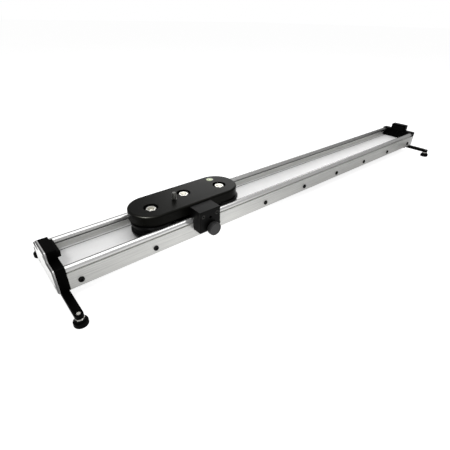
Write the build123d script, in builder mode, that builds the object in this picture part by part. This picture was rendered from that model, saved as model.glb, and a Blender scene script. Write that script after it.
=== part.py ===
from build123d import *
import math
import os

# Camera slider, 1200 mm class.
# Origin: middle of the rail, on its underside. X runs along the rail, Z is up.

# rail
rail_length = 1190.0
rail_width = 108.0
wall_thickness = 5.0
wall_top = 31.5
floor_top = 17.4
rod_diameter = 12.7
rod_axis_y = 47.2
rod_axis_z = 37.0
rod_socket_depth = 10.0
groove_y = 41.6
groove_width = 2.6
groove_depth = 1.8
hollow_inner_y = 14.0
hollow_outer_y = 31.0
hollow_bottom = 4.0
hollow_top = 13.4
hollow_corner = 2.0

# side bolts, M6 button heads
side_bolt_pitch = 144.0
side_bolt_count = 9
second_bolt_shift = -5.0
side_bolt_z = 12.0
side_bolt_diameter = 6.0
side_bolt_length = 16.0
side_head_diameter = 10.5
side_head_height = 2.8
side_head_round = 1.8
side_socket_flats = 4.0
side_socket_depth = 1.8

# ends
block_thickness = 16.0
end_plate_thickness = 4.0
ear_top = 45.5
crown_half_width = 24.5
crown_top = 63.5
end_corner_radius = 3.0
plate_rim_chamfer = 2.0
cheek_thickness = 4.0
bumper_thickness = 6.0
bumper_width = 44.0
bumper_height = 13.0
bumper_z = 52.0
end_screw_diameter = 5.0
end_head_diameter = 8.5
end_head_height = 3.0
end_screw_low = (44.0, 9.0)
end_screw_high = (17.0, 53.0)
low_screw_in_base = 14.0
high_screw_in_block = 11.0
screw_end_room = 1.0
end_head_recess = 0.3
end_socket_flats = 4.0
end_socket_depth = 1.8

# legs
pivot_outboard_shift = 1.0
pivot_x = rail_length / 2 + block_thickness / 2 + pivot_outboard_shift
pivot_y = 34.0
leg_reach = 77.0
leg_width = 14.0
leg_thickness = 8.0
pivot_washer_thickness = 1.0
pivot_washer_diameter = 14.0
turning_gap = 0.05
leg_bolt_diameter = 8.0
leg_head_diameter = 12.5
leg_head_height = 5.0
leg_socket_flats = 6.0
leg_socket_depth = 3.0
leg_bolt_in_block = 14.0
stem_diameter = 8.0
foot_button_diameter = 14.0
foot_button_height = 3.0
foot_button_lift = 4.0
lock_nut_flats = 13.0
lock_nut_height = 2.8
pad_diameter = 23.0
pad_height = 8.0
pad_collar_diameter = 17.0
pad_collar_height = 3.5
pad_bottom = -23.5

# carriage
carriage_x = -331.5
plate_half_pitch = 79.5
plate_radius = 45.4
plate_bottom = 50.0
plate_top = 70.8
plate_edge_round = 4.0
plate_under_chamfer = 1.0
wheel_pitch = 83.6
wheel_offset_y = 7.0
wheel_radius = 41.5
wheel_bottom = 25.5
wheel_top = 48.5
groove_clearance = 0.05
groove_radius = 6.6
axle_diameter = 12.0
bearing_diameter = 32.0
bearing_height = 10.0
bearing_bottom = 27.0
bearing_gap = 0.2
wheel_shoulder = 1.5
wheel_rim_chamfer = 0.8
groove_mouth = 8.0
axle_nut_flats = 18.0
axle_nut_height = 7.0
axle_head_height = 5.0
axle_below_top = 1.0
axle_point_chamfer = 0.8
lower_washer_diameter = 18.0
lower_washer_thickness = 2.0
spacer_diameter = 21.0
counterbore_diameter = 29.0
counterbore_bottom = 60.5
axle_washer_diameter = 24.0
axle_washer_thickness = 1.5
bush_diameter = 18.0
bush_offset = 1.0
stud_x = carriage_x - 29.0
stud_y = -3.7
stud_diameter = 9.525
stud_shank_diameter = 11.0
stud_top = 84.2
stud_head_diameter = 18.0
stud_head_height = 5.0
stud_point_chamfer = 1.0
level_x = carriage_x + 84.0
level_y = 26.8
level_diameter = 15.0
level_rim = 1.0
level_depth = 8.0
level_floor = 1.0

# rail lock
lock_x = carriage_x + 4.0
lock_width = 49.5
lock_front = -79.5
lock_inner = -56.0
lock_bottom = 21.0
lock_top = 67.5
lock_arm_bottom = 46.0
lock_screw_x = lock_x + 4.5
lock_screw_z = 26.5
lock_screw_diameter = 6.0
shoe_width = 14.0
shoe_height = 8.0
shoe_back = -62.0
shoe_face = -54.5
knob_diameter = 28.0
knob_back = -80.1
knob_front = -90.5
knob_cap = 3.0
knob_face_round = 1.5
knob_back_chamfer = 0.8
block_screw_spacing = 33.0
block_screw_z = 56.0
block_screw_diameter = 5.0
block_screw_end = -33.0
block_head_diameter = 8.5
block_head_depth = 5.0
block_head_height = 4.7
block_socket_flats = 4.0
block_socket_depth = 2.5
block_edge_chamfer = 1.0
pin_hole_diameter = 6.0
pin_hole_depth = 10.0
pin_hole_z = 51.0

# tripod sockets
socket_large_diameter = 9.525
socket_small_diameter = 6.35
socket_spacing = 120.0
socket_body_diameter = 15.0
socket_height = 12.0

half_length = rail_length / 2
half_width = rail_width / 2
inner_y = half_width - wall_thickness
rod_radius = rod_diameter / 2
side_bolt_xs = [(i - (side_bolt_count - 1) / 2) * side_bolt_pitch for i in range(side_bolt_count)]
side_bolt_xs[1] += second_bolt_shift
end_screw_points = [
    (-end_screw_low[0], end_screw_low[1]),
    (end_screw_low[0], end_screw_low[1]),
    (-end_screw_high[0], end_screw_high[1]),
    (end_screw_high[0], end_screw_high[1]),
]
arm_top = -pivot_washer_thickness - turning_gap
arm_bottom = arm_top - leg_thickness
button_bottom = pad_bottom + foot_button_lift
button_top = button_bottom + foot_button_height
wheel_centres = [
    (carriage_x - wheel_pitch, -wheel_offset_y),
    (carriage_x, wheel_offset_y),
    (carriage_x + wheel_pitch, -wheel_offset_y),
]

block_screw_points = [
    (lock_x - block_screw_spacing / 2, block_screw_z),
    (lock_x + block_screw_spacing / 2, block_screw_z),
]
block_seat_y = lock_front + block_head_depth

os.makedirs("parts", exist_ok=True)


def save(solid, label):
    """Label one piece and write it to its own file."""
    solid.label = label
    export_step(solid, "parts/" + label + ".step")


# base plate: floor of the rail with two hollow chambers
with BuildPart() as base_plate:
    with BuildSketch(Plane.YZ.offset(-half_length)):
        with Locations((0, floor_top / 2)):
            Rectangle(2 * inner_y, floor_top)
        for side in (-1, 1):
            with Locations((side * groove_y, floor_top - groove_depth / 2)):
                Rectangle(groove_width, groove_depth, mode=Mode.SUBTRACT)
            with Locations((side * (hollow_inner_y + hollow_outer_y) / 2, (hollow_bottom + hollow_top) / 2)):
                RectangleRounded(
                    hollow_outer_y - hollow_inner_y,
                    hollow_top - hollow_bottom,
                    hollow_corner,
                    mode=Mode.SUBTRACT,
                )
    extrude(amount=rail_length)
    with BuildSketch(Plane.XZ.offset(inner_y)):
        with Locations(*[(x, side_bolt_z) for x in side_bolt_xs]):
            Circle(side_bolt_diameter / 2)
    extrude(amount=-(side_bolt_length - wall_thickness), mode=Mode.SUBTRACT)
    with BuildSketch(Plane.XZ.offset(-inner_y)):
        with Locations(*[(x, side_bolt_z) for x in side_bolt_xs]):
            Circle(side_bolt_diameter / 2)
    extrude(amount=side_bolt_length - wall_thickness, mode=Mode.SUBTRACT)
    for end in (-1, 1):
        with BuildSketch(Plane.YZ.offset(end * half_length)):
            with Locations(*end_screw_points[:2]):
                Circle(end_screw_diameter / 2)
        extrude(amount=-end * (low_screw_in_base + screw_end_room), mode=Mode.SUBTRACT)
    with BuildSketch(Plane.XY):
        with Locations((-socket_spacing / 2, 0), (0, 0), (socket_spacing / 2, 0)):
            Circle(socket_body_diameter / 2)
    extrude(amount=socket_height, mode=Mode.SUBTRACT)
save(base_plate.part, "base_plate")


def side_rail(side):
    """Wall of the rail with the seat for its guide rod. side is -1 front, 1 rear."""
    lip_y = math.sqrt(rod_radius**2 - (rod_axis_z - wall_top) ** 2)
    foot_y = inner_y - rod_axis_y
    foot_drop = math.sqrt(rod_radius**2 - foot_y**2)
    mid_angle = (math.atan2(rod_axis_z - wall_top, lip_y) + math.atan2(foot_drop, foot_y)) / 2
    lip = (side * (rod_axis_y + lip_y), wall_top)
    mid_y = rod_axis_y + rod_radius * math.cos(mid_angle)
    mid = (side * mid_y, rod_axis_z - rod_radius * math.sin(mid_angle))
    foot = (side * inner_y, rod_axis_z - foot_drop)
    with BuildPart() as wall:
        with BuildSketch(Plane.YZ.offset(-half_length)):
            with BuildLine():
                Polyline(
                    lip,
                    (side * half_width, wall_top),
                    (side * half_width, 0),
                    (side * inner_y, 0),
                    foot,
                )
                ThreePointArc(foot, mid, lip)
            make_face()
        extrude(amount=rail_length)
        with BuildSketch(Plane.XZ.offset(-side * half_width)):
            with Locations(*[(x, side_bolt_z) for x in side_bolt_xs]):
                Circle(side_bolt_diameter / 2)
        extrude(amount=side * wall_thickness, mode=Mode.SUBTRACT)
    return wall.part


save(side_rail(-1), "side_rail_front")
save(side_rail(1), "side_rail_rear")


def guide_rod(side):
    """Round running rod, let into both end blocks."""
    with BuildPart() as rod:
        with BuildSketch(Plane.YZ.offset(-half_length - rod_socket_depth)):
            with Locations((side * rod_axis_y, rod_axis_z)):
                Circle(rod_radius)
        extrude(amount=rail_length + 2 * rod_socket_depth)
        chamfer(rod.edges().filter_by(GeomType.CIRCLE), 0.5)
    return rod.part


save(guide_rod(-1), "guide_rod_front")
save(guide_rod(1), "guide_rod_rear")


def side_bolts(side):
    """Nine button-head bolts that tie a wall to the base plate."""
    with BuildPart() as bolts:
        with BuildSketch(Plane.XZ.offset(-side * half_width)):
            with Locations(*[(x, side_bolt_z) for x in side_bolt_xs]):
                Circle(side_bolt_diameter / 2)
        extrude(amount=side * side_bolt_length)
        with BuildSketch(Plane.XZ.offset(-side * half_width)):
            with Locations(*[(x, side_bolt_z) for x in side_bolt_xs]):
                Circle(side_head_diameter / 2)
        extrude(amount=-side * side_head_height)
        face_y = side * (half_width + side_head_height)
        rims = bolts.edges().filter_by(GeomType.CIRCLE)
        rims = rims.filter_by(lambda edge: abs(edge.center().Y - face_y) < 0.01)
        fillet(rims, side_head_round)
        with BuildSketch(Plane.XZ.offset(-face_y)):
            with Locations(*[(x, side_bolt_z) for x in side_bolt_xs]):
                RegularPolygon(side_socket_flats / 2, 6, major_radius=False)
        extrude(amount=side * side_socket_depth, mode=Mode.SUBTRACT)
    return bolts.part


save(side_bolts(-1), "side_bolts_front")
save(side_bolts(1), "side_bolts_rear")


def draw_end_outline(low_half_width):
    """Front view of an end: a low body, ears above the rods and a raised crown."""
    with Locations((0, wall_top / 2)):
        Rectangle(2 * low_half_width, wall_top)
    with Locations((0, (wall_top + ear_top) / 2)):
        Rectangle(rail_width, ear_top - wall_top)
    with Locations((0, (ear_top + crown_top) / 2)):
        Rectangle(2 * crown_half_width, crown_top - ear_top)


def upper_corners(solid):
    """Long edges at the outer corners of the ears and of the crown."""
    along = solid.edges().filter_by(Axis.X)
    ears = along.filter_by(lambda e: abs(e.center().Y) > half_width - 0.1 and e.center().Z > ear_top - 0.1)
    crown = along.filter_by(lambda e: e.center().Z > crown_top - 0.1)
    return ears + crown


def end_block(end, low_half_width):
    """Black end block. end is -1 left, 1 right."""
    inner_x = end * half_length
    outer_x = end * (half_length + block_thickness)
    with BuildPart() as block:
        with BuildSketch(Plane.YZ.offset(inner_x)):
            draw_end_outline(low_half_width)
        extrude(amount=end * block_thickness)
        fillet(upper_corners(block), end_corner_radius)
        with BuildSketch(Plane.YZ.offset(inner_x)):
            with Locations((-rod_axis_y, rod_axis_z), (rod_axis_y, rod_axis_z)):
                Circle(rod_radius)
        extrude(amount=end * rod_socket_depth, mode=Mode.SUBTRACT)
        with BuildSketch(Plane.YZ.offset(outer_x)):
            with Locations(*end_screw_points[:2]):
                Circle(end_screw_diameter / 2)
        extrude(amount=-end * block_thickness, mode=Mode.SUBTRACT)
        with BuildSketch(Plane.YZ.offset(outer_x)):
            with Locations(*end_screw_points[2:]):
                Circle(end_screw_diameter / 2)
        extrude(amount=-end * (high_screw_in_block + screw_end_room), mode=Mode.SUBTRACT)
        with BuildSketch(Plane.XY):
            with Locations((end * pivot_x, -pivot_y), (end * pivot_x, pivot_y)):
                Circle(leg_bolt_diameter / 2)
        extrude(amount=leg_bolt_in_block, mode=Mode.SUBTRACT)
    return block.part


save(end_block(-1, half_width), "end_block_left")
save(end_block(1, half_width - cheek_thickness), "end_block_right")


def end_plate(end, with_cheeks):
    """Bright plate over the outside of an end block; the right one has side cheeks."""
    block_face = end * (half_length + block_thickness)
    outer_face = end * (half_length + block_thickness + end_plate_thickness)
    with BuildPart() as plate:
        with BuildSketch(Plane.YZ.offset(block_face)):
            draw_end_outline(half_width)
        extrude(amount=end * end_plate_thickness)
        fillet(upper_corners(plate), end_corner_radius)
        outer_rim = plate.faces().sort_by(Axis.X)[-1 if end > 0 else 0].edges()
        chamfer(outer_rim, plate_rim_chamfer)
        if with_cheeks:
            with BuildSketch(Plane.YZ.offset(block_face)):
                for side in (-1, 1):
                    with Locations((side * (half_width - cheek_thickness / 2), wall_top / 2)):
                        Rectangle(cheek_thickness, wall_top)
            extrude(amount=-end * block_thickness)
            with BuildSketch(Plane.YZ.offset(end * half_length)):
                with Locations((-rod_axis_y, rod_axis_z), (rod_axis_y, rod_axis_z)):
                    Circle(rod_radius)
            extrude(amount=end * rod_socket_depth, mode=Mode.SUBTRACT)
        with BuildSketch(Plane.YZ.offset(outer_face)):
            with Locations(*end_screw_points):
                Circle(end_screw_diameter / 2)
        extrude(amount=-end * end_plate_thickness, mode=Mode.SUBTRACT)
        with BuildSketch(Plane.YZ.offset(outer_face)):
            with Locations(*end_screw_points):
                Circle(end_head_diameter / 2)
        extrude(amount=-end * end_head_height, mode=Mode.SUBTRACT)
    return plate.part


save(end_plate(-1, False), "end_plate_left")
save(end_plate(1, True), "end_plate_right")


def end_screws(end):
    """Four socket screws: the lower two reach the base plate, the upper two the block."""
    head_x = end * (half_length + block_thickness + end_plate_thickness - end_head_height)
    with BuildPart() as screws:
        with BuildSketch(Plane.YZ.offset(head_x)):
            with Locations(*end_screw_points):
                Circle(end_head_diameter / 2)
        extrude(amount=end * (end_head_height - end_head_recess))
        with BuildSketch(Plane.YZ.offset(head_x)):
            with Locations(*end_screw_points[:2]):
                Circle(end_screw_diameter / 2)
        extrude(amount=-end * (end_plate_thickness - end_head_height + block_thickness + low_screw_in_base))
        with BuildSketch(Plane.YZ.offset(head_x)):
            with Locations(*end_screw_points[2:]):
                Circle(end_screw_diameter / 2)
        extrude(amount=-end * (end_plate_thickness - end_head_height + high_screw_in_block))
        with BuildSketch(Plane.YZ.offset(head_x + end * (end_head_height - end_head_recess))):
            with Locations(*end_screw_points):
                RegularPolygon(end_socket_flats / 2, 6, major_radius=False)
        extrude(amount=-end * end_socket_depth, mode=Mode.SUBTRACT)
    return screws.part


save(end_screws(-1), "end_screws_left")
save(end_screws(1), "end_screws_right")


def bumper(end):
    """Rubber stop for the carriage on the inner face of the crown."""
    with BuildPart() as pad:
        with BuildSketch(Plane.YZ.offset(end * half_length)):
            with Locations((0, bumper_z)):
                RectangleRounded(bumper_width, bumper_height, end_corner_radius)
        extrude(amount=-end * bumper_thickness)
        front = pad.faces().sort_by(Axis.X)[0 if end > 0 else -1].edges()
        fillet(front, 1.5)
    return pad.part


save(bumper(-1), "bumper_left")
save(bumper(1), "bumper_right")

# tripod sockets: threaded bushes let into the underside
with BuildPart() as tripod_socket_large:
    with BuildSketch(Plane.XY):
        Circle(socket_body_diameter / 2)
        Circle(socket_large_diameter / 2, mode=Mode.SUBTRACT)
    extrude(amount=socket_height)
save(tripod_socket_large.part, "tripod_socket_large")

with BuildPart() as tripod_sockets_small:
    with BuildSketch(Plane.XY):
        with Locations((-socket_spacing / 2, 0), (socket_spacing / 2, 0)):
            Circle(socket_body_diameter / 2)
            Circle(socket_small_diameter / 2, mode=Mode.SUBTRACT)
    extrude(amount=socket_height)
save(tripod_sockets_small.part, "tripod_sockets_small")

# legs: pivot bolts and washers stay with the end blocks
pivot_points = [(sx * pivot_x, sy * pivot_y) for sx in (-1, 1) for sy in (-1, 1)]

with BuildPart() as leg_pivot_washers:
    with BuildSketch(Plane.XY.offset(-pivot_washer_thickness)):
        with Locations(*pivot_points):
            Circle(pivot_washer_diameter / 2)
            Circle(leg_bolt_diameter / 2, mode=Mode.SUBTRACT)
    extrude(amount=pivot_washer_thickness)
save(leg_pivot_washers.part, "leg_pivot_washers")

with BuildPart() as leg_pivot_bolts:
    with BuildSketch(Plane.XY.offset(arm_bottom - turning_gap - leg_head_height)):
        with Locations(*pivot_points):
            Circle(leg_head_diameter / 2)
    extrude(amount=leg_head_height)
    with BuildSketch(Plane.XY.offset(arm_bottom - turning_gap)):
        with Locations(*pivot_points):
            Circle(leg_bolt_diameter / 2)
    extrude(amount=leg_bolt_in_block - arm_bottom + turning_gap)
    with BuildSketch(Plane.XY.offset(arm_bottom - turning_gap - leg_head_height)):
        with Locations(*pivot_points):
            RegularPolygon(leg_socket_flats / 2, 6, major_radius=False)
    extrude(amount=leg_socket_depth, mode=Mode.SUBTRACT)
save(leg_pivot_bolts.part, "leg_pivot_bolts")


def leg_arm(sx, sy):
    """Flat swinging arm from its pivot under the end block out to the foot."""
    foot_y = sy * (pivot_y + leg_reach)
    with BuildPart() as arm:
        with BuildSketch(Plane.XY.offset(arm_bottom)):
            with Locations((sx * pivot_x, sy * (pivot_y + leg_reach / 2))):
                Rectangle(leg_width, leg_reach)
            with Locations((sx * pivot_x, sy * pivot_y), (sx * pivot_x, foot_y)):
                Circle(leg_width / 2)
            with Locations((sx * pivot_x, sy * pivot_y)):
                Circle(leg_bolt_diameter / 2 + turning_gap, mode=Mode.SUBTRACT)
            with Locations((sx * pivot_x, foot_y)):
                Circle(stem_diameter / 2 + turning_gap, mode=Mode.SUBTRACT)
        extrude(amount=leg_thickness)
        rims = arm.faces().sort_by(Axis.Z)[0].outer_wire().edges()
        rims += arm.faces().sort_by(Axis.Z)[-1].outer_wire().edges()
        chamfer(rims, 0.8)
    return arm.part


def lock_nut(sx, sy):
    """Thin nut that locks the foot stem against the arm."""
    with BuildPart() as nut:
        with BuildSketch(Plane.XY.offset(arm_bottom - lock_nut_height)):
            with Locations((sx * pivot_x, sy * (pivot_y + leg_reach))):
                RegularPolygon(lock_nut_flats / 2, 6, major_radius=False)
                Circle(stem_diameter / 2 + turning_gap, mode=Mode.SUBTRACT)
        extrude(amount=lock_nut_height)
    return nut.part


def foot_stem(sx, sy):
    """Threaded stem of the levelling foot, with the button that holds the pad."""
    centre = (sx * pivot_x, sy * (pivot_y + leg_reach))
    with BuildPart() as stem:
        with BuildSketch(Plane.XY.offset(button_bottom)):
            with Locations(centre):
                Circle(foot_button_diameter / 2)
        extrude(amount=foot_button_height)
        with BuildSketch(Plane.XY.offset(button_top)):
            with Locations(centre):
                Circle(stem_diameter / 2)
        extrude(amount=arm_top - 2 * turning_gap - button_top)
        chamfer(stem.faces().sort_by(Axis.Z)[-1].edges(), 0.6)
    return stem.part


def foot_pad(sx, sy):
    """Rubber pad moulded round the button of its stem."""
    centre = (sx * pivot_x, sy * (pivot_y + leg_reach))
    with BuildPart() as pad:
        with BuildSketch(Plane.XY.offset(pad_bottom)):
            with Locations(centre):
                Circle(pad_diameter / 2)
        extrude(amount=pad_height)
        fillet(pad.faces().sort_by(Axis.Z)[-1].edges(), 1.5)
        fillet(pad.faces().sort_by(Axis.Z)[0].edges(), 1.0)
        with BuildSketch(Plane.XY.offset(pad_bottom + pad_height)):
            with Locations(centre):
                Circle(pad_collar_diameter / 2)
        extrude(amount=pad_collar_height)
        fillet(pad.faces().sort_by(Axis.Z)[-1].edges(), 1.0)
        with BuildSketch(Plane.XY.offset(button_bottom)):
            with Locations(centre):
                Circle(foot_button_diameter / 2)
        extrude(amount=foot_button_height, mode=Mode.SUBTRACT)
        with BuildSketch(Plane.XY.offset(button_top)):
            with Locations(centre):
                Circle(stem_diameter / 2)
        extrude(amount=pad_height + pad_collar_height, mode=Mode.SUBTRACT)
    return pad.part


for x_name, sx in (("left", -1), ("right", 1)):
    for y_name, sy in (("front", -1), ("rear", 1)):
        corner = y_name + "_" + x_name
        save(leg_arm(sx, sy), "leg_arm_" + corner)
        save(lock_nut(sx, sy), "foot_lock_nut_" + corner)
        save(foot_stem(sx, sy), "foot_stem_" + corner)
        save(foot_pad(sx, sy), "foot_pad_" + corner)

# carriage plate with counterbores for the axle nuts
with BuildPart() as carriage_plate:
    with BuildSketch(Plane.XY.offset(plate_bottom)):
        with Locations((carriage_x, 0)):
            SlotCenterToCenter(2 * plate_half_pitch, 2 * plate_radius)
    extrude(amount=plate_top - plate_bottom)
    fillet(carriage_plate.faces().sort_by(Axis.Z)[-1].edges(), plate_edge_round)
    chamfer(carriage_plate.faces().sort_by(Axis.Z)[0].edges(), plate_under_chamfer)
    with BuildSketch(Plane.XY.offset(counterbore_bottom)):
        with Locations(*wheel_centres):
            Circle(counterbore_diameter / 2)
    extrude(amount=plate_top - counterbore_bottom, mode=Mode.SUBTRACT)
    with BuildSketch(Plane.XY.offset(plate_bottom)):
        with Locations(wheel_centres[0], wheel_centres[2]):
            Circle(axle_diameter / 2)
        with Locations((carriage_x, wheel_offset_y - bush_offset)):
            Circle(bush_diameter / 2)
    extrude(amount=counterbore_bottom - plate_bottom, mode=Mode.SUBTRACT)
    with BuildSketch(Plane.XY.offset(plate_bottom)):
        with Locations((stud_x, stud_y)):
            Circle(stud_head_diameter / 2)
    extrude(amount=stud_head_height, mode=Mode.SUBTRACT)
    with BuildSketch(Plane.XY.offset(plate_bottom)):
        with Locations((stud_x, stud_y)):
            Circle(stud_shank_diameter / 2)
    extrude(amount=plate_top - plate_bottom, mode=Mode.SUBTRACT)
    with BuildSketch(Plane.XY.offset(plate_top - level_depth)):
        with Locations((level_x, level_y)):
            Circle(level_diameter / 2 + level_rim)
    extrude(amount=level_depth, mode=Mode.SUBTRACT)
    with BuildSketch(Plane.XZ.offset(plate_radius)):
        with Locations(*block_screw_points):
            Circle(block_screw_diameter / 2)
    extrude(amount=-(plate_radius + block_screw_end), mode=Mode.SUBTRACT)
save(carriage_plate.part, "carriage_plate")


def wheel(centre):
    """Grooved running wheel, bored for two ball bearings."""
    frame = Plane(origin=(centre[0], centre[1], 0), x_dir=(1, 0, 0), z_dir=(0, -1, 0))
    groove_bottom = rod_axis_y - rod_radius - wheel_offset_y - groove_clearance
    with BuildPart() as roller:
        with BuildSketch(frame):
            with Locations(((wheel_radius + bearing_diameter / 2) / 2, (wheel_bottom + wheel_top) / 2)):
                Rectangle(wheel_radius - bearing_diameter / 2, wheel_top - wheel_bottom)
            with Locations(((bearing_diameter - wheel_shoulder) / 2, (wheel_bottom + bearing_bottom) / 2)):
                Rectangle(wheel_shoulder, bearing_bottom - wheel_bottom)
            with Locations((groove_bottom + groove_radius, rod_axis_z)):
                Circle(groove_radius, mode=Mode.SUBTRACT)
            with Locations((groove_bottom + groove_radius + groove_mouth / 2, rod_axis_z)):
                Rectangle(groove_mouth, 2 * groove_radius, mode=Mode.SUBTRACT)
        revolve(axis=Axis((centre[0], centre[1], 0), (0, 0, 1)))
        faces = roller.faces().sort_by(Axis.Z)
        chamfer(faces[0].outer_wire().edges(), wheel_rim_chamfer)
        chamfer(faces[-1].outer_wire().edges(), wheel_rim_chamfer)
    return roller.part


def wheel_bearings(centre):
    """Two ball bearings stacked in the hub of a wheel."""
    with BuildPart() as bearings:
        for level in (0, 1):
            with BuildSketch(Plane.XY.offset(bearing_bottom + level * (bearing_height + bearing_gap))):
                with Locations(centre):
                    Circle(bearing_diameter / 2)
                    Circle(axle_diameter / 2 + turning_gap, mode=Mode.SUBTRACT)
            extrude(amount=bearing_height)
    return bearings.part


for name, centre in zip(("left", "middle", "right"), wheel_centres):
    save(wheel(centre), "wheel_" + name)
    save(wheel_bearings(centre), "wheel_bearings_" + name)

lower_washer_top = bearing_bottom - turning_gap
lower_washer_bottom = lower_washer_top - lower_washer_thickness
spacer_bottom = bearing_bottom + 2 * bearing_height + bearing_gap + turning_gap

with BuildPart() as axle_bolts:
    with BuildSketch(Plane.XY.offset(lower_washer_bottom - axle_head_height)):
        with Locations(*wheel_centres):
            RegularPolygon(axle_nut_flats / 2, 6, major_radius=False)
    extrude(amount=axle_head_height)
    with BuildSketch(Plane.XY.offset(lower_washer_bottom)):
        with Locations(*wheel_centres):
            Circle(axle_diameter / 2)
    extrude(amount=plate_top - axle_below_top - lower_washer_bottom)
    chamfer(axle_bolts.faces().group_by(Axis.Z)[-1].edges(), axle_point_chamfer)
save(axle_bolts.part, "axle_bolts")

with BuildPart() as axle_lower_washers:
    with BuildSketch(Plane.XY.offset(lower_washer_bottom)):
        with Locations(*wheel_centres):
            Circle(lower_washer_diameter / 2)
            Circle(axle_diameter / 2, mode=Mode.SUBTRACT)
    extrude(amount=lower_washer_thickness)
save(axle_lower_washers.part, "axle_lower_washers")

with BuildPart() as axle_spacers:
    with BuildSketch(Plane.XY.offset(spacer_bottom)):
        with Locations(*wheel_centres):
            Circle(spacer_diameter / 2)
            Circle(axle_diameter / 2, mode=Mode.SUBTRACT)
    extrude(amount=plate_bottom - spacer_bottom)
save(axle_spacers.part, "axle_spacers")

with BuildPart() as eccentric_bush:
    with BuildSketch(Plane.XY.offset(plate_bottom)):
        with Locations((carriage_x, wheel_offset_y - bush_offset)):
            Circle(bush_diameter / 2)
        with Locations((carriage_x, wheel_offset_y)):
            Circle(axle_diameter / 2, mode=Mode.SUBTRACT)
    extrude(amount=counterbore_bottom - plate_bottom)
save(eccentric_bush.part, "eccentric_bush")

with BuildPart() as axle_washers:
    with BuildSketch(Plane.XY.offset(counterbore_bottom)):
        with Locations(*wheel_centres):
            Circle(axle_washer_diameter / 2)
            Circle(axle_diameter / 2, mode=Mode.SUBTRACT)
    extrude(amount=axle_washer_thickness)
save(axle_washers.part, "axle_washers")

with BuildPart() as axle_nuts:
    with BuildSketch(Plane.XY.offset(counterbore_bottom + axle_washer_thickness)):
        with Locations(*wheel_centres):
            RegularPolygon(axle_nut_flats / 2, 6, major_radius=False)
            Circle(axle_diameter / 2, mode=Mode.SUBTRACT)
    extrude(amount=axle_nut_height)
save(axle_nuts.part, "axle_nuts")

# camera stud with its head sunk in the underside of the plate
with BuildPart() as camera_stud:
    with BuildSketch(Plane.XY.offset(plate_bottom)):
        with Locations((stud_x, stud_y)):
            Circle(stud_head_diameter / 2)
    extrude(amount=stud_head_height)
    with BuildSketch(Plane.XY.offset(plate_bottom + stud_head_height)):
        with Locations((stud_x, stud_y)):
            Circle(stud_shank_diameter / 2)
    extrude(amount=plate_top - plate_bottom - stud_head_height)
    with BuildSketch(Plane.XY.offset(plate_top)):
        with Locations((stud_x, stud_y)):
            Circle(stud_diameter / 2)
    extrude(amount=stud_top - plate_top)
    chamfer(camera_stud.faces().sort_by(Axis.Z)[-1].edges(), stud_point_chamfer)
save(camera_stud.part, "camera_stud")

# bubble level: cup and vial
with BuildPart() as level_cup:
    with BuildSketch(Plane.XY.offset(plate_top - level_depth)):
        with Locations((level_x, level_y)):
            Circle(level_diameter / 2 + level_rim)
    extrude(amount=level_depth)
    with BuildSketch(Plane.XY.offset(plate_top - level_depth + level_floor)):
        with Locations((level_x, level_y)):
            Circle(level_diameter / 2)
    extrude(amount=level_depth, mode=Mode.SUBTRACT)
save(level_cup.part, "level_cup")

with BuildPart() as level_vial:
    with BuildSketch(Plane.XY.offset(plate_top - level_depth + level_floor)):
        with Locations((level_x, level_y)):
            Circle(level_diameter / 2)
    extrude(amount=level_depth - level_floor)
save(level_vial.part, "level_vial")

# rail lock: block hung on the front edge of the plate
with BuildPart() as lock_block:
    with BuildSketch(Plane.YZ.offset(lock_x - lock_width / 2)):
        with BuildLine():
            Polyline(
                (-plate_radius, lock_top),
                (lock_front, lock_top),
                (lock_front, lock_bottom),
                (lock_inner, lock_bottom),
                (lock_inner, lock_arm_bottom),
                (-plate_radius, lock_arm_bottom),
                close=True,
            )
        make_face()
    extrude(amount=lock_width)
    outer_edges = lock_block.faces().sort_by(Axis.Y)[0].edges()
    chamfer(outer_edges, block_edge_chamfer)
    with BuildSketch(Plane.XZ.offset(-lock_front)):
        with Locations(*block_screw_points):
            Circle(block_screw_diameter / 2)
    extrude(amount=lock_front + plate_radius, mode=Mode.SUBTRACT)
    with BuildSketch(Plane.XZ.offset(-lock_front)):
        with Locations(*block_screw_points):
            Circle(block_head_diameter / 2)
    extrude(amount=-block_head_depth, mode=Mode.SUBTRACT)
    with BuildSketch(Plane.XZ.offset(-lock_front)):
        with Locations((lock_screw_x, lock_screw_z)):
            Circle(lock_screw_diameter / 2 + turning_gap)
    extrude(amount=lock_front - lock_inner, mode=Mode.SUBTRACT)
    with BuildSketch(Plane.XZ.offset(-lock_inner)):
        with Locations((lock_screw_x, lock_screw_z)):
            Rectangle(shoe_width + 2 * turning_gap, shoe_height + 2 * turning_gap)
    extrude(amount=lock_inner - shoe_back, mode=Mode.SUBTRACT)
    with BuildSketch(Plane.XZ.offset(-lock_front)):
        with Locations((lock_x, pin_hole_z)):
            Circle(pin_hole_diameter / 2)
    extrude(amount=-pin_hole_depth, mode=Mode.SUBTRACT)
save(lock_block.part, "lock_block")

with BuildPart() as block_screws:
    with BuildSketch(Plane.XZ.offset(-block_seat_y)):
        with Locations(*block_screw_points):
            Circle(block_head_diameter / 2)
    extrude(amount=block_head_height)
    with BuildSketch(Plane.XZ.offset(-block_seat_y)):
        with Locations(*block_screw_points):
            Circle(block_screw_diameter / 2)
    extrude(amount=-(block_screw_end - screw_end_room - block_seat_y))
    with BuildSketch(Plane.XZ.offset(block_head_height - block_seat_y)):
        with Locations(*block_screw_points):
            RegularPolygon(block_socket_flats / 2, 6, major_radius=False)
    extrude(amount=-block_socket_depth, mode=Mode.SUBTRACT)
save(block_screws.part, "block_screws")

with BuildPart() as lock_screw:
    with BuildSketch(Plane.XZ.offset(-shoe_back + turning_gap)):
        with Locations((lock_screw_x, lock_screw_z)):
            Circle(lock_screw_diameter / 2)
    extrude(amount=shoe_back - knob_front - knob_cap)
save(lock_screw.part, "lock_screw")

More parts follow.
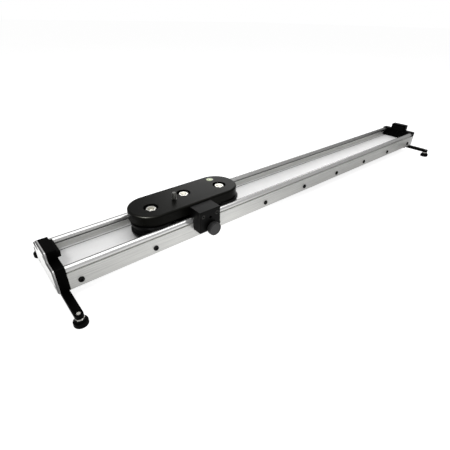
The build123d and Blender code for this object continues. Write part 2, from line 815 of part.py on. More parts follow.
with BuildPart() as lock_knob:
    with BuildSketch(Plane.XZ.offset(-knob_back)):
        with Locations((lock_screw_x, lock_screw_z)):
            Circle(knob_diameter / 2)
    extrude(amount=knob_back - knob_front)
    fillet(lock_knob.faces().sort_by(Axis.Y)[0].edges(), knob_face_round)
    chamfer(lock_knob.faces().sort_by(Axis.Y)[-1].edges(), knob_back_chamfer)
    with BuildSketch(Plane.XZ.offset(-knob_back)):
        with Locations((lock_screw_x, lock_screw_z)):
            Circle(lock_screw_diameter / 2)
    extrude(amount=knob_back - knob_front - knob_cap + turning_gap, mode=Mode.SUBTRACT)
save(lock_knob.part, "lock_knob")

with BuildPart() as brake_shoe:
    with BuildSketch(Plane.XZ.offset(-shoe_face)):
        with Locations((lock_screw_x, lock_screw_z)):
            Rectangle(shoe_width, shoe_height)
    extrude(amount=shoe_face - shoe_back)
save(brake_shoe.part, "brake_shoe")
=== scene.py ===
import bpy
import bmesh
import math
from mathutils import Matrix, Vector


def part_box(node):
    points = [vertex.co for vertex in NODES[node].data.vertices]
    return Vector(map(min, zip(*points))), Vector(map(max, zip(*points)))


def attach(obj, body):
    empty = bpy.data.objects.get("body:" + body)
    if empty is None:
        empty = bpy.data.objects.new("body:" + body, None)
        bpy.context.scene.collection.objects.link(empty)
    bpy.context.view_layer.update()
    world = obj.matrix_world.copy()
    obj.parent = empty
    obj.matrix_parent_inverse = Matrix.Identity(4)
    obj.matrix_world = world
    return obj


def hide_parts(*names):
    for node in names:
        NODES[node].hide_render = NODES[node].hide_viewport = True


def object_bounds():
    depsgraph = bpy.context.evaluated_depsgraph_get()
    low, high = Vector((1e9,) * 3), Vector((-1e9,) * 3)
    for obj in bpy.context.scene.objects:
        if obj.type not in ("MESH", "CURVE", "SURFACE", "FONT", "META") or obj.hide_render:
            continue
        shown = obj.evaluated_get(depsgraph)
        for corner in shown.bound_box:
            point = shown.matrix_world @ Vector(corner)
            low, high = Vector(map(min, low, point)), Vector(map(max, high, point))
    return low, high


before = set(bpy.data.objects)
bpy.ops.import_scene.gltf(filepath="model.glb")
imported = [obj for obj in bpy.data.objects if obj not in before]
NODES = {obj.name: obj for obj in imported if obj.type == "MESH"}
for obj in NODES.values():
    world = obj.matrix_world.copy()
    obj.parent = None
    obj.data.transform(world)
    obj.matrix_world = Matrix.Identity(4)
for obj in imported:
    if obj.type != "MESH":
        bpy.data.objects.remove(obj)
cad_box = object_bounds()
CORNERS = ("front_left", "front_right", "rear_left", "rear_right")
WHEELS = ("left", "middle", "right")


def each(prefix, endings):
    return [prefix + ending for ending in endings]


# ---------------------------------------------------------------- shader helpers
# Stretches of a noise: the same every way, and long streaks along one axis.
EVEN = (1.0, 1.0, 1.0)
ALONG_X = (0.012, 1.0, 1.0)
ALONG_Z = (1.0, 1.0, 0.02)
WHEEL_TURNED = (1.0, 1.0, 0.2)


def grey(value):
    return (value, value, value)


WHITE = grey(1.0)


def new_material(name):
    mat = bpy.data.materials.new(name)
    mat.use_nodes = True
    nodes = mat.node_tree.nodes
    nodes.clear()
    out = nodes.new("ShaderNodeOutputMaterial")
    shader = nodes.new("ShaderNodeBsdfPrincipled")
    mat.node_tree.links.new(shader.outputs["BSDF"], out.inputs["Surface"])
    return mat, nodes, mat.node_tree.links, shader


def noise(nodes, links, scale, stretch=EVEN, detail=4.0, rough=0.6):
    """Noise in the frame's own metres, so that streaks keep their real size."""
    coords = nodes.new("ShaderNodeTexCoord")
    mapping = nodes.new("ShaderNodeMapping")
    mapping.inputs["Scale"].default_value = stretch
    texture = nodes.new("ShaderNodeTexNoise")
    texture.inputs["Scale"].default_value = scale
    texture.inputs["Detail"].default_value = detail
    texture.inputs["Roughness"].default_value = rough
    links.new(coords.outputs["Object"], mapping.inputs["Vector"])
    links.new(mapping.outputs["Vector"], texture.inputs["Vector"])
    return texture.outputs["Fac"]


def ramp(nodes, links, source, first, last, start=0.3, end=0.7):
    """A number that goes from first to last while the source goes from start to end."""
    node = nodes.new("ShaderNodeMapRange")
    node.inputs["From Min"].default_value = start
    node.inputs["From Max"].default_value = end
    node.inputs["To Min"].default_value = first
    node.inputs["To Max"].default_value = last
    links.new(source, node.inputs["Value"])
    return node.outputs["Result"]


def tint(nodes, links, source, first, last, start=0.3, end=0.7):
    """A colour that goes from first to last while the source goes from start to end."""
    node = nodes.new("ShaderNodeValToRGB")
    node.color_ramp.elements[0].position = start
    node.color_ramp.elements[1].position = end
    node.color_ramp.elements[0].color = (*first, 1)
    node.color_ramp.elements[1].color = (*last, 1)
    links.new(source, node.inputs["Fac"])
    return node.outputs["Color"]


def bump(nodes, links, source, strength, distance):
    node = nodes.new("ShaderNodeBump")
    node.inputs["Strength"].default_value = strength
    node.inputs["Distance"].default_value = distance
    links.new(source, node.inputs["Height"])
    return node.outputs["Normal"]


def multiply(nodes, links, first, second):
    node = nodes.new("ShaderNodeMixRGB")
    node.blend_type = "MULTIPLY"
    node.inputs["Fac"].default_value = 1.0
    links.new(first, node.inputs[1])
    links.new(second, node.inputs[2])
    return node.outputs[0]


def calculate(nodes, links, operation, *values):
    """One math node whose inputs are sockets or numbers."""
    node = nodes.new("ShaderNodeMath")
    node.operation = operation
    for index, value in enumerate(values):
        if isinstance(value, (int, float)):
            node.inputs[index].default_value = value
        else:
            links.new(value, node.inputs[index])
    return node.outputs[0]


def split(nodes, links, vector):
    """The X, Y and Z outputs of a vector socket."""
    node = nodes.new("ShaderNodeSeparateXYZ")
    links.new(vector, node.inputs[0])
    return node.outputs


# ---------------------------------------------------------------- grey factors of a colour: painted shade
# Painted shade in the crevices of the rail floor.
CREVICE_REACH = 0.0035  # metres
CREVICE_GREY = 0.25
CREVICE_SPAN = (0.35, 0.80)  # of the ambient occlusion

# Painted shade on the end plates' chamfers.
CHAMFER_GREY = 0.16
CHAMFER_LEAN = (0.45, 0.85)  # of the normal towards X

# Painted shade: a dark band on each rod's inner side below its middle.
INNER_SHADE_DROP = math.radians(48)  # of the painted shade band's middle below the rod's middle, which follows the wheels' line of contact
INNER_SHADE_GREY = 0.08
INNER_SHADE_SPAN = (0.50, 0.84)
# Painted dark reflection: the rods' outlines as seen are darker, most on the inner side.
INNER_OUTLINE_GREY = 0.24
INNER_OUTLINE_SPAN = (0.12, 0.62)
OUTER_OUTLINE_GREY = 0.60
OUTER_OUTLINE_SPAN = (0.20, 0.70)


def crevice_painted_shade(nodes, links):
    """Painted shade: darkens the surface where others stand within reach of it, in crevices and between
    parts.
    """
    shade = nodes.new("ShaderNodeAmbientOcclusion")
    shade.samples = 16
    shade.inputs["Distance"].default_value = CREVICE_REACH
    return tint(nodes, links, shade.outputs["AO"], grey(CREVICE_GREY), WHITE, *CREVICE_SPAN)


def chamfer_painted_shade(nodes, links):
    """Painted shade: darkens faces that lean halfway between the X axis and the YZ plane, such as the end
    plates' chamfers.
    """
    geometry = nodes.new("ShaderNodeNewGeometry")
    normal = split(nodes, links, geometry.outputs["True Normal"])
    node = nodes.new("ShaderNodeValToRGB")
    node.color_ramp.interpolation = "CONSTANT"
    node.color_ramp.elements[0].color = (*WHITE, 1)
    node.color_ramp.elements[1].position = CHAMFER_LEAN[0]
    node.color_ramp.elements[1].color = (*grey(CHAMFER_GREY), 1)
    last = node.color_ramp.elements.new(CHAMFER_LEAN[1])
    last.color = (*WHITE, 1)
    links.new(calculate(nodes, links, "ABSOLUTE", normal["X"]), node.inputs["Fac"])
    return node.outputs["Color"]


def rod_painted_shade(nodes, links):
    """Painted shade on a rod: a dark band on its inner side below the middle stands for shade, and
    darker outlines where the viewer sees them, most on the inner side, are a painted dark reflection."""
    geometry = nodes.new("ShaderNodeNewGeometry")
    normal = split(nodes, links, geometry.outputs["True Normal"])
    place = split(nodes, links, geometry.outputs["Position"])
    rod_side = calculate(nodes, links, "SIGN", place["Y"])
    outward = calculate(nodes, links, "MULTIPLY", normal["Y"], rod_side)
    level = calculate(nodes, links, "MULTIPLY", outward, -math.cos(INNER_SHADE_DROP))
    lean = calculate(nodes, links, "MULTIPLY_ADD", normal["Z"], -math.sin(INNER_SHADE_DROP), level)
    inner_shade = tint(nodes, links, lean, WHITE, grey(INNER_SHADE_GREY), *INNER_SHADE_SPAN)
    # painted dark reflection along the outlines as seen
    facing = nodes.new("ShaderNodeLayerWeight").outputs["Facing"]
    inner = tint(nodes, links, facing, WHITE, grey(INNER_OUTLINE_GREY), *INNER_OUTLINE_SPAN)
    outer = tint(nodes, links, facing, WHITE, grey(OUTER_OUTLINE_GREY), *OUTER_OUTLINE_SPAN)
    outline = nodes.new("ShaderNodeMixRGB")
    links.new(calculate(nodes, links, "GREATER_THAN", outward, 0.0), outline.inputs["Fac"])
    links.new(inner, outline.inputs[1])
    links.new(outer, outline.inputs[2])
    return multiply(nodes, links, inner_shade, outline.outputs[0])


# ---------------------------------------------------------------- materials
GRAIN_DETAIL = 5.0
CLOUD_SCALE = 9.0
CLOUD_DETAIL = 2.0
CLOUD_GREY = 0.93


def surface(name, dark, light, metallic, rough, grain, stretch=EVEN, relief=(0.1, 0.00003), shade=None,
            **extra):
    """A shader whose colour, roughness and relief all follow one noise.

    dark and light are the ends of its colour and rough those of its roughness. grain is the scale of the
    noise. relief is the strength of the bump and its depth in metres. shade is a function that gives a
    grey factor for the colour, and extra names further inputs of the shader.
    """
    mat, nodes, links, shader = new_material(name)
    fine = noise(nodes, links, grain, stretch, GRAIN_DETAIL)
    cloud = noise(nodes, links, CLOUD_SCALE, EVEN, CLOUD_DETAIL)
    colour = multiply(nodes, links, tint(nodes, links, fine, dark, light),
                      tint(nodes, links, cloud, grey(CLOUD_GREY), WHITE))
    if shade:
        colour = multiply(nodes, links, colour, shade(nodes, links))
    links.new(colour, shader.inputs["Base Color"])
    links.new(ramp(nodes, links, fine, *rough), shader.inputs["Roughness"])
    links.new(bump(nodes, links, fine, *relief), shader.inputs["Normal"])
    shader.inputs["Metallic"].default_value = metallic
    for key, value in extra.items():
        shader.inputs[key.replace("_", " ")].default_value = value
    return mat


# rail
rail_floor = surface("rail_floor", (0.96, 0.96, 0.955), (1.0, 1.0, 0.995), metallic=0.05,
                     rough=(0.42, 0.56), grain=1500, stretch=ALONG_X, relief=(0.25, 0.00006),
                     shade=crevice_painted_shade)
rail_wall = surface("rail_wall", (0.64, 0.64, 0.62), (0.88, 0.88, 0.85), metallic=0.45,
                    rough=(0.30, 0.44), grain=1100, stretch=ALONG_X, relief=(0.3, 0.00008))
rod_steel = surface("rod_steel", (0.84, 0.84, 0.83), (0.95, 0.95, 0.94), metallic=0.72,
                    rough=(0.12, 0.20), grain=1200, stretch=ALONG_X, shade=rod_painted_shade)
end_silver = surface("end_silver", (0.86, 0.86, 0.85), (0.96, 0.96, 0.95), metallic=1.0,
                     rough=(0.28, 0.40), grain=1200, stretch=ALONG_Z, relief=(0.2, 0.00005),
                     shade=chamfer_painted_shade)
black_anodised = surface("black_anodised", grey(0.0006), grey(0.0016), metallic=0.0,
                         rough=(0.30, 0.42), grain=2600, relief=(0.15, 0.00005),
                         Specular_IOR_Level=0.03)
brass = surface("brass", (0.62, 0.46, 0.20), (0.74, 0.58, 0.28), metallic=1.0, rough=(0.2, 0.32),
                grain=1500)

# carriage
plate_charcoal = surface("plate_charcoal", (0.0008, 0.0008, 0.0007), (0.0020, 0.0020, 0.0017),
                         metallic=0.0, rough=(0.32, 0.44), grain=3000, relief=(0.22, 0.00006),
                         Specular_IOR_Level=0.07, Specular_Tint=(1.0, 1.0, 0.88, 1.0))
block_satin = surface("block_satin", (0.0010, 0.0010, 0.0009), (0.0022, 0.0022, 0.0020), metallic=0.0,
                      rough=(0.36, 0.48), grain=2600, relief=(0.18, 0.00005),
                      Specular_IOR_Level=0.085)
wheel_nylon = surface("wheel_nylon", grey(0.002), grey(0.005), metallic=0.0, rough=(0.28, 0.40),
                      grain=1400, stretch=WHEEL_TURNED, relief=(0.15, 0.00006),
                      Specular_IOR_Level=0.08)
knob_plastic = surface("knob_plastic", grey(0.022), grey(0.036), metallic=0.0, rough=(0.40, 0.52),
                       grain=1800, relief=(0.25, 0.00008), Specular_IOR_Level=0.4)
pad_nylon = surface("pad_nylon", grey(0.10), grey(0.13), metallic=0.0, rough=(0.45, 0.6), grain=1500,
                    relief=(0.2, 0.00008))
rubber = surface("rubber", grey(0.0010), grey(0.0026), metallic=0.0, rough=(0.45, 0.62), grain=1600,
                 relief=(0.3, 0.0001), Specular_IOR_Level=0.05)

# fasteners and bearings
black_steel = surface("black_steel", grey(0.001), grey(0.003), metallic=0.0, rough=(0.20, 0.34),
                      grain=2000, Specular_IOR_Level=0.15)
screw_steel = surface("screw_steel", (0.030, 0.030, 0.029), (0.055, 0.055, 0.052), metallic=1.0,
                      rough=(0.25, 0.38), grain=2000)
stud_steel = surface("stud_steel", (0.085, 0.085, 0.08), (0.14, 0.14, 0.13), metallic=1.0,
                     rough=(0.22, 0.34), grain=1800)
bright_steel = surface("bright_steel", (0.80, 0.785, 0.73), (0.92, 0.905, 0.85), metallic=0.75,
                       rough=(0.16, 0.28), grain=1800, relief=(0.08, 0.00003))
bolt_steel = surface("bolt_steel", (0.52, 0.50, 0.42), (0.66, 0.64, 0.55), metallic=1.0,
                     rough=(0.22, 0.34), grain=1800, relief=(0.08, 0.00003))
bearing_steel = surface("bearing_steel", grey(0.50), grey(0.60), metallic=1.0, rough=(0.20, 0.30),
                        grain=1800, relief=(0.08, 0.00003))

# bubble level
vial_green = surface("vial_green", (0.60, 0.68, 0.40), (0.72, 0.80, 0.52), metallic=0.0,
                     rough=(0.05, 0.09), grain=300, relief=(0.02, 0.00001))
bubble_white = surface("bubble_white", (0.86, 0.90, 0.80), (0.94, 0.97, 0.88), metallic=0.0,
                       rough=(0.04, 0.08), grain=300, relief=(0.02, 0.00001))
cup_grey = surface("cup_grey", (0.10, 0.105, 0.09), (0.16, 0.165, 0.14), metallic=0.0,
                   rough=(0.25, 0.35), grain=900, relief=(0.05, 0.00002))

FINISHES = (
    (rail_floor, ["base_plate"]),
    (rail_wall, ["side_rail_front", "side_rail_rear"]),
    (rod_steel, ["guide_rod_front", "guide_rod_rear"]),
    (end_silver, ["end_plate_left", "end_plate_right"]),
    (black_anodised, ["end_block_left", "end_block_right"] + each("leg_arm_", CORNERS)),
    (brass, ["tripod_socket_large", "tripod_sockets_small"]),
    (rubber, ["bumper_left", "bumper_right"] + each("foot_pad_", CORNERS)),
    (black_steel, ["side_bolts_front", "side_bolts_rear", "end_screws_left", "end_screws_right",
                   "leg_pivot_bolts", "axle_washers"]),
    (bright_steel, ["leg_pivot_washers", "axle_lower_washers", "axle_spacers", "eccentric_bush",
                    "axle_nuts", "lock_screw"]
     + each("foot_lock_nut_", CORNERS) + each("foot_stem_", CORNERS)),
    (plate_charcoal, ["carriage_plate"]),
    (bolt_steel, ["axle_bolts"]),
    (stud_steel, ["camera_stud"]),
    (cup_grey, ["level_cup"]),
    (vial_green, ["level_vial"]),
    (block_satin, ["lock_block"]),
    (screw_steel, ["block_screws"]),
    (knob_plastic, ["lock_knob"]),
    (pad_nylon, ["brake_shoe"]),
    (wheel_nylon, each("wheel_", WHEELS)),
    (bearing_steel, each("wheel_bearings_", WHEELS)),
)
for mat, names in FINISHES:
    for name in names:
        slots = NODES[name].data.materials
        slots.clear()
        slots.append(mat)


MM_PER_M = 1000
WELD_DISTANCE = 1e-7  # metres
POINT = 0.01  # mm, radius of the ring that closes a turned shape on its axis


def make_piece(name, shape, mat, body, replaced, smooth):
    """A closed mesh in the frame's metres that rides on a body and may stand for a CAD node.

    shape is a pair of vertices and faces. Edges flatter than smooth, in degrees, are shaded smooth.
    """
    verts, faces = shape
    mesh = bpy.data.meshes.new(name)
    work = bmesh.new()
    made = [work.verts.new(co) for co in verts]
    for face in faces:
        work.faces.new([made[i] for i in face])
    bmesh.ops.remove_doubles(work, verts=work.verts, dist=WELD_DISTANCE)
    bmesh.ops.recalc_face_normals(work, faces=work.faces)
    for edge in work.edges:
        edge.smooth = len(edge.link_faces) == 2 and edge.calc_face_angle() < math.radians(smooth)
    for face in work.faces:
        face.smooth = True
    work.to_mesh(mesh)
    work.free()
    mesh.materials.append(mat)
    piece = bpy.data.objects.new(name, mesh)
    bpy.context.collection.objects.link(piece)
    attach(piece, body)
    if replaced:
        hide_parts(replaced)


def skin(rings, hollow):
    """Joins rings of equal length into quads. A hollow shape's last ring meets its first, and any other
    shape is capped at both ends."""
    count = len(rings[0])
    verts = [co for ring in rings for co in ring]
    faces = []
    pairs = len(rings) if hollow else len(rings) - 1
    for i in range(pairs):
        low = i * count
        high = ((i + 1) % len(rings)) * count
        for k in range(count):
            n = (k + 1) % count
            faces.append((low + k, low + n, high + n, high + k))
    if not hollow:
        faces.append(tuple(range(count - 1, -1, -1)))
        faces.append(tuple((len(rings) - 1) * count + k for k in range(count)))
    return verts, faces


def merge(shapes):
    """Several shapes as one."""
    verts, faces = [], []
    for part_verts, part_faces in shapes:
        start = len(verts)
        verts += part_verts
        faces += [tuple(start + i for i in face) for face in part_faces]
    return verts, faces


def turned_ring(centre, height, segments, radius_at):
    """One ring about a vertical axis: its centre is in metres, its height and radii in mm."""
    ring = []
    for k in range(segments):
        angle = math.tau * k / segments
        radius = radius_at(angle)
        ring.append(Vector((centre[0] + radius * math.cos(angle) / MM_PER_M,
                            centre[1] + radius * math.sin(angle) / MM_PER_M, height / MM_PER_M)))
    return ring


def lathe(profile, centre, segments):
    """Rings about a vertical axis from a profile of (radius, height) in mm."""
    return [turned_ring(centre, height, segments, lambda angle: radius) for radius, height in profile]


THREAD_STEPS = 8  # rings in one pitch
THREAD_RUN_OUT = 0.6  # of a pitch, at the upper end
THREAD_CREST = 1.25  # above one, the crests are flat


def thread_rings(centre, low, high, radius, pitch, depth, segments=36):
    """Rings of a screw thread of outer radius mm between two heights, fading at both ends."""
    rings = []
    count = int((high - low) / pitch * THREAD_STEPS)
    for i in range(count + 1):
        height = low + (high - low) * i / count
        fade = max(0.0, min(1.0, (height - low) / pitch, (high - height) / (THREAD_RUN_OUT * pitch)))

        def radius_at(angle):
            phase = (height / pitch - angle / math.tau) % 1.0
            crest = min(1.0, (1.0 - abs(2 * phase - 1.0)) * THREAD_CREST)
            return radius - depth + depth * crest * fade

        rings.append(turned_ring(centre, height, segments, radius_at))
    return rings


NUT_SEGMENTS = 72
NUT_FACE = 0.95  # radius of the flat face, of half the width across flats
NUT_CHAMFER = math.radians(28)
NUT_SINK = 0.7  # mm, width and depth of the countersink


def hex_nut(centre, low, high, flats, bore, turn):
    """One chamfered hexagon nut with countersunk ends, turned by an angle in degrees."""
    face = flats / 2 * NUT_FACE

    def hexagon(angle):
        local = (angle + math.radians(turn)) % (math.pi / 3) - math.pi / 6
        return flats / 2 / math.cos(local)

    def end(height, inward):
        """Rings of one end from the bore outwards; inward is the way into the nut."""
        rings = lathe([(bore, height + inward * NUT_SINK), (bore + NUT_SINK, height), (face, height)],
                      centre, NUT_SEGMENTS)
        rim = turned_ring(centre, height, NUT_SEGMENTS, hexagon)
        for k, corner in enumerate(rim):
            drop = (hexagon(math.tau * k / NUT_SEGMENTS) - face) * math.tan(NUT_CHAMFER)
            corner.z = (height + inward * drop) / MM_PER_M
        return rings + [rim]

    return skin(end(low, 1) + end(high, -1)[::-1], True)


def box_mm(node):
    low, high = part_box(node)
    return [low[i] * MM_PER_M for i in range(3)], [high[i] * MM_PER_M for i in range(3)]


def axis_of(node):
    """Where the vertical axis through the middle of a node's box stands, in metres."""
    low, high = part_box(node)
    return (low[0] + high[0]) / 2, (low[1] + high[1]) / 2


# ---------------------------------------------------------------- detail pieces, sizes in mm
THREE_EIGHTHS = {"radius": 4.7625, "pitch": 1.5875}
QUARTER = {"radius": 3.175, "pitch": 1.27}


def axle_nuts(flats=18.0, bore=6.0, turns=(12, 31, 50)):
    low, high = box_mm("axle_nuts")
    nuts = [hex_nut(axis_of("wheel_" + wheel), low[2], high[2], flats, bore, turn)
            for wheel, turn in zip(WHEELS, turns)]
    make_piece("axle_nuts_detail", merge(nuts), bright_steel, "carriage", "axle_nuts", smooth=20.0)


def camera_stud(head_radius=9.0, head_height=5.0, shank_radius=5.5, segments=48):
    """A head sunk in the plate, and a thread above the plate."""
    low, high = box_mm("camera_stud")
    axis = axis_of("camera_stud")
    bottom, top = low[2], high[2]
    plate = box_mm("carriage_plate")[1][2]
    head = lathe([(POINT, bottom), (head_radius - 0.7, bottom), (head_radius, bottom + 0.7),
                  (head_radius, bottom + head_height), (shank_radius, bottom + head_height),
                  (shank_radius, plate - 0.3), (4.75, plate), (3.95, plate + 0.3)], axis, segments)
    thread = thread_rings(axis, plate + 0.6, top - 1.1, THREE_EIGHTHS["radius"],
                          THREE_EIGHTHS["pitch"], 0.85, segments)
    tip = lathe([(3.9, top - 0.6), (3.5, top), (POINT, top)], axis, segments)
    make_piece("camera_stud_detail", skin(head + thread + tip, False), stud_steel, "carriage",
               "camera_stud", smooth=50.0)


def levelling_foot(corner, button_radius=7.0, button_height=3.0, stem_radius=4.0, pitch=1.25,
                   nut_flats=13.0, nut_bore=4.05, nut_turn=15, segments=36):
    """A threaded stem on a button that turns with the pad, and a nut that stays with the leg."""
    low, high = box_mm("foot_stem_" + corner)
    axis = axis_of("foot_stem_" + corner)
    bottom, top = low[2], high[2]
    edge = 0.4
    button = lathe([(POINT, bottom), (button_radius - edge, bottom), (button_radius, bottom + edge),
                    (button_radius, bottom + button_height - edge),
                    (button_radius - edge, bottom + button_height),
                    (stem_radius - 0.3, bottom + button_height)], axis, segments)
    thread = thread_rings(axis, bottom + button_height + edge, top - 0.8, stem_radius, pitch, 0.6,
                          segments)
    tip = lathe([(stem_radius - 0.6, top - 0.5), (stem_radius - 1.0, top), (POINT, top)], axis, segments)
    make_piece("foot_stem_detail_" + corner, skin(button + thread + tip, False), bright_steel,
               "foot_" + corner, "foot_stem_" + corner, smooth=50.0)
    low, high = box_mm("foot_lock_nut_" + corner)
    nut = hex_nut(axis, low[2], high[2], nut_flats, nut_bore, nut_turn)
    make_piece("foot_lock_nut_detail_" + corner, nut, bright_steel, "leg_" + corner,
               "foot_lock_nut_" + corner, smooth=20.0)


def wheel_bearings(wheel, bore=6.05, inner=8.8, outer=12.8, rim=16.0, width=10.0, segments=64):
    """Two ball bearings in a hub, each with a shield recessed between its rings."""
    low, high = box_mm("wheel_bearings_" + wheel)
    edge, recess, slope = 0.4, 0.5, 0.2
    lower = [(bore, edge), (bore + 0.35, 0.0), (inner, 0.0), (inner + slope, recess),
             (outer - slope, recess), (outer, 0.0), (rim - edge, 0.0), (rim, edge)]
    section = lower + [(radius, width - height) for radius, height in reversed(lower)]
    bearings = []
    for base in (low[2], high[2] - width):
        profile = [(radius, base + height) for radius, height in section]
        bearings.append(skin(lathe(profile, axis_of("wheel_" + wheel), segments), True))
    make_piece("wheel_bearings_detail_" + wheel, merge(bearings), bearing_steel,
               "wheel_" + wheel + "_body", "wheel_bearings_" + wheel, smooth=30.0)


def bubble_level(vial_radius=7.4, ring_radius=3.4, ring_wire=0.22, bubble_radius=2.6, segments=48):
    """A domed vial with its ring mark and its bubble."""
    low, high = box_mm("level_vial")
    axis = axis_of("level_vial")
    top = high[2]
    eave = top - 0.8
    dome = [(POINT, low[2]), (vial_radius, low[2]), (vial_radius, eave)]
    dome += [(vial_radius * math.cos(a * math.pi / 16), eave + 0.75 * math.sin(a * math.pi / 16))
             for a in range(1, 8)]
    dome += [(POINT, top - 0.05)]
    make_piece("level_vial_detail", skin(lathe(dome, axis, segments), False), vial_green, "carriage",
               "level_vial", smooth=50.0)
    wire = [(ring_radius + ring_wire * math.cos(a * math.pi / 4),
             top - 0.16 + ring_wire * math.sin(a * math.pi / 4)) for a in range(8)]
    make_piece("level_ring", skin(lathe(wire, axis, segments), True), black_steel, "carriage", None,
               smooth=60.0)
    waist = top - 0.3
    bubble = [(POINT, waist)]
    bubble += [(bubble_radius * math.cos(a * math.pi / 12), waist + 0.32 * math.sin(a * math.pi / 12))
               for a in range(6)]
    bubble += [(POINT, top + 0.02)]
    make_piece("level_bubble", skin(lathe(bubble, axis, 40), False), bubble_white, "carriage", None,
               smooth=60.0)


def lock_knob(flutes=28, flute_depth=0.55, bore=3.0, bore_depth=7.45, segments=224):
    """A knob with a fluted rim and a dished face, turned about Y."""
    low, high = (corner / MM_PER_M for corner in map(Vector, box_mm("lock_knob")))
    middle = (low + high) / 2
    depth = (high.y - low.y) * MM_PER_M
    rim = (high.x - low.x) * MM_PER_M / 2

    def fluted(radius):
        return lambda angle: radius - flute_depth * (0.5 - 0.5 * math.cos(flutes * angle)) ** 2

    centre = (0, 0)
    rings = lathe([(POINT, bore_depth), (bore, bore_depth), (bore, 0.0)], centre, segments)
    for radius, height in ((rim - 1.4, 0.0), (rim - 0.4, 0.8), (rim, 1.4), (rim, depth - 1.8)):
        rings.append(turned_ring(centre, height, segments, fluted(radius)))
    rings += lathe([(rim - 0.5, depth - 0.6), (rim - 1.4, depth), (rim - 2.8, depth),
                    (rim - 3.4, depth - 0.5), (POINT, depth - 0.5)], centre, segments)
    turned = [[Vector((middle.x + p.x, high.y - p.z, middle.z + p.y)) for p in ring] for ring in rings]
    make_piece("lock_knob_detail", skin(turned, False), knob_plastic, "lock_handle", "lock_knob", smooth=35.0)


def threaded_bush(centre, low, high, outer, size, depth, segments=48):
    """A bush whose bore holds a screw thread, countersunk at its lower mouth."""
    bore = size["radius"]
    rings = lathe([(outer - 0.4, high), (outer, high - 0.4), (outer, low + 0.3), (outer - 0.3, low),
                   (bore + 0.7, low), (bore + 0.05, low + 0.7)], centre, segments)
    rings += thread_rings(centre, low + 0.8, high - 0.4, bore + depth, size["pitch"], depth, segments)
    rings += lathe([(bore + 0.05, high)], centre, segments)
    return skin(rings, True)


def tripod_sockets():
    low, high = box_mm("tripod_socket_large")
    radius = (high[0] - low[0]) / 2
    large = threaded_bush((0, 0), low[2], high[2], radius, THREE_EIGHTHS, 0.9)
    make_piece("tripod_socket_large_detail", large, brass, "rail", "tripod_socket_large", smooth=50.0)
    low, high = box_mm("tripod_sockets_small")
    pair = [threaded_bush((x / MM_PER_M, 0), low[2], high[2], radius, QUARTER, 0.7)
            for x in (low[0] + radius, high[0] - radius)]
    make_piece("tripod_sockets_small_detail", merge(pair), brass, "rail", "tripod_sockets_small", smooth=50.0)


axle_nuts()
camera_stud()
for corner in CORNERS:
    levelling_foot(corner)
for wheel in WHEELS:
    wheel_bearings(wheel)
bubble_level()
lock_knob()
tripod_sockets()

# Softened edges on the machined blocks, widths in mm.
EDGE_BREAKS = {
    "end_block_left": 0.6,
    "end_block_right": 0.6,
    "lock_block": 0.5,
    "end_plate_left": 0.3,
    "end_plate_right": 0.3,
    "side_rail_front": 0.2,
    "side_rail_rear": 0.2,
}
for name, width in EDGE_BREAKS.items():
    soft = NODES[name].modifiers.new("edge_break", "BEVEL")
    soft.width = width / MM_PER_M
    soft.segments = 2
    soft.limit_method = "ANGLE"
    soft.angle_limit = math.radians(40)
    soft.harden_normals = False


# ---------------------------------------------------------------- stage
STAGE_SIZE = 60.0
STAGE_GAP = 0.0002
FLOOR_SEEN = 0.80  # what the floor gives off towards the camera
# The pool and the strip are painted light: the floor glows there for the object alone, where no lamp stands.
POOL_CENTRE = (-0.30, -0.12)
POOL_RADIUS = 0.38
POOL_LIGHT = (0.66, -0.03)  # at its centre and at its rim
STRIP_END = -0.612
STRIP_BLUR = 0.02
STRIP_LIGHT = 0.7


def pale_floor():
    """A white floor. The camera sees it nearly without shadow. The object reflects it dimmer, with a glowing
    pool of painted light in front and a painted bright strip beyond the left end. It is clear from below."""
    mat, nodes, links, shader = new_material("floor_pale")
    cloud = noise(nodes, links, 3.0)
    links.new(tint(nodes, links, cloud, grey(0.50), grey(0.52)), shader.inputs["Base Color"])
    shader.inputs["Roughness"].default_value = 0.9
    shader.inputs["Specular IOR Level"].default_value = 0.0
    shader.inputs["Emission Color"].default_value = (*WHITE, 1)

    place = nodes.new("ShaderNodeTexCoord").outputs["Object"]
    offset = nodes.new("ShaderNodeVectorMath")
    offset.operation = "DISTANCE"
    links.new(place, offset.inputs[0])
    offset.inputs[1].default_value = (*POOL_CENTRE, 0)
    pool = ramp(nodes, links, offset.outputs["Value"], *POOL_LIGHT, 0.0, POOL_RADIUS)
    along = split(nodes, links, place)["X"]
    strip = ramp(nodes, links, along, STRIP_LIGHT, 0.0, STRIP_END - STRIP_BLUR, STRIP_END)
    reflected = calculate(nodes, links, "MAXIMUM", pool, strip)
    path = nodes.new("ShaderNodeLightPath")
    light = nodes.new("ShaderNodeMix")
    links.new(path.outputs["Is Camera Ray"], light.inputs[0])
    links.new(reflected, light.inputs[2])
    light.inputs[3].default_value = FLOOR_SEEN
    links.new(light.outputs[0], shader.inputs["Emission Strength"])

    output = next(node for node in nodes if node.type == "OUTPUT_MATERIAL")
    clear = nodes.new("ShaderNodeBsdfTransparent")
    side = nodes.new("ShaderNodeNewGeometry")
    blend = nodes.new("ShaderNodeMixShader")
    links.new(side.outputs["Backfacing"], blend.inputs[0])
    links.new(shader.outputs[0], blend.inputs[1])
    links.new(clear.outputs[0], blend.inputs[2])
    links.new(blend.outputs[0], output.inputs["Surface"])
    return mat


bpy.ops.mesh.primitive_plane_add(size=STAGE_SIZE, location=(0, 0, cad_box[0].z - STAGE_GAP))
floor = bpy.context.object
floor.name = "stage_floor"
floor.data.materials.append(pale_floor())


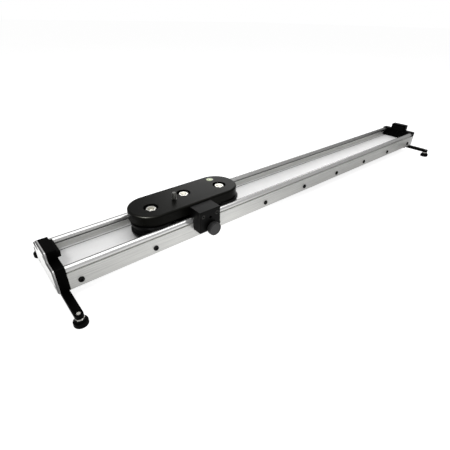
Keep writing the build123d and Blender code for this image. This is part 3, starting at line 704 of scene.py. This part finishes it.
def studio_world(seen, lit):
    """A sky that the camera sees as white and the object sees as a dimmer room."""
    world = bpy.data.worlds.new("studio")
    world.use_nodes = True
    nodes = world.node_tree.nodes
    path = nodes.new("ShaderNodeLightPath")
    strength = nodes.new("ShaderNodeMapRange")
    strength.inputs["To Min"].default_value = lit
    strength.inputs["To Max"].default_value = seen
    world.node_tree.links.new(path.outputs["Is Camera Ray"], strength.inputs["Value"])
    world.node_tree.links.new(strength.outputs["Result"], nodes["Background"].inputs["Strength"])
    nodes["Background"].inputs["Color"].default_value = (*WHITE, 1)
    bpy.context.scene.world = world


def softbox(name, location, target, size, radiance):
    """A rectangular lamp; its power follows from its area and the radiance wanted."""
    data = bpy.data.lights.new(name, "AREA")
    data.shape = "RECTANGLE"
    data.size, data.size_y = size
    data.energy = radiance * math.pi * data.size * data.size_y
    lamp = bpy.data.objects.new(name, data)
    bpy.context.collection.objects.link(lamp)
    lamp.location = location
    lamp.rotation_mode = "QUATERNION"
    lamp.rotation_quaternion = (Vector(target) - Vector(location)).to_track_quat("-Z", "Y")
    return lamp


studio_world(seen=1.0, lit=0.36)
softbox("overhead", location=(0.3, 0.0, 2.2), target=(0.1, 0, 0), size=(3.0, 2.0), radiance=1.45)
softbox("back", location=(1.85, 1.8, 1.05), target=(-0.2, 0, 0.05), size=(2.2, 1.4), radiance=2.1)
softbox("rim", location=(-1.25, -0.95, 1.7), target=(-0.35, 0, 0.06), size=(0.35, 0.35), radiance=26.0)

# The carriage plate's highlight has a lamp of its own, which lights nothing else: it would whiten the rods.
glint = softbox("glint", location=(-1.40, -0.34, 1.52), target=(-0.41, -0.03, 0.06), size=(0.30, 0.30),
                radiance=800.0)
glint.visible_diffuse = False
receivers = bpy.data.collections.new("glint_receivers")
receivers.objects.link(NODES["carriage_plate"])
glint.light_linking.receiver_collection = receivers


def add_camera(place, azimuth, elevation, roll, lens):
    """Camera at a place in metres that looks back along azimuth and elevation, rolled, in degrees."""
    data = bpy.data.cameras.new("camera")
    data.lens = lens
    data.clip_start = 0.01
    data.clip_end = 80.0
    camera = bpy.data.objects.new("camera", data)
    bpy.context.collection.objects.link(camera)
    azimuth, elevation, roll = math.radians(azimuth), math.radians(elevation), math.radians(roll)
    back = Vector((math.sin(azimuth) * math.cos(elevation), -math.cos(azimuth) * math.cos(elevation),
                   math.sin(elevation)))
    level_right = Vector((0, 0, 1)).cross(back).normalized()
    level_up = back.cross(level_right)
    right = level_right * math.cos(roll) + level_up * math.sin(roll)
    up = level_up * math.cos(roll) - level_right * math.sin(roll)
    camera.matrix_world = Matrix.Translation(place) @ Matrix(
        ((right.x, up.x, back.x), (right.y, up.y, back.y), (right.z, up.z, back.z))
    ).to_4x4()
    bpy.context.scene.camera = camera


add_camera(place=(-0.6665, -0.5188, 0.3806), azimuth=-40.59, elevation=32.06, roll=1.22, lens=26.54)
bpy.context.scene.view_settings.view_transform = "Standard"
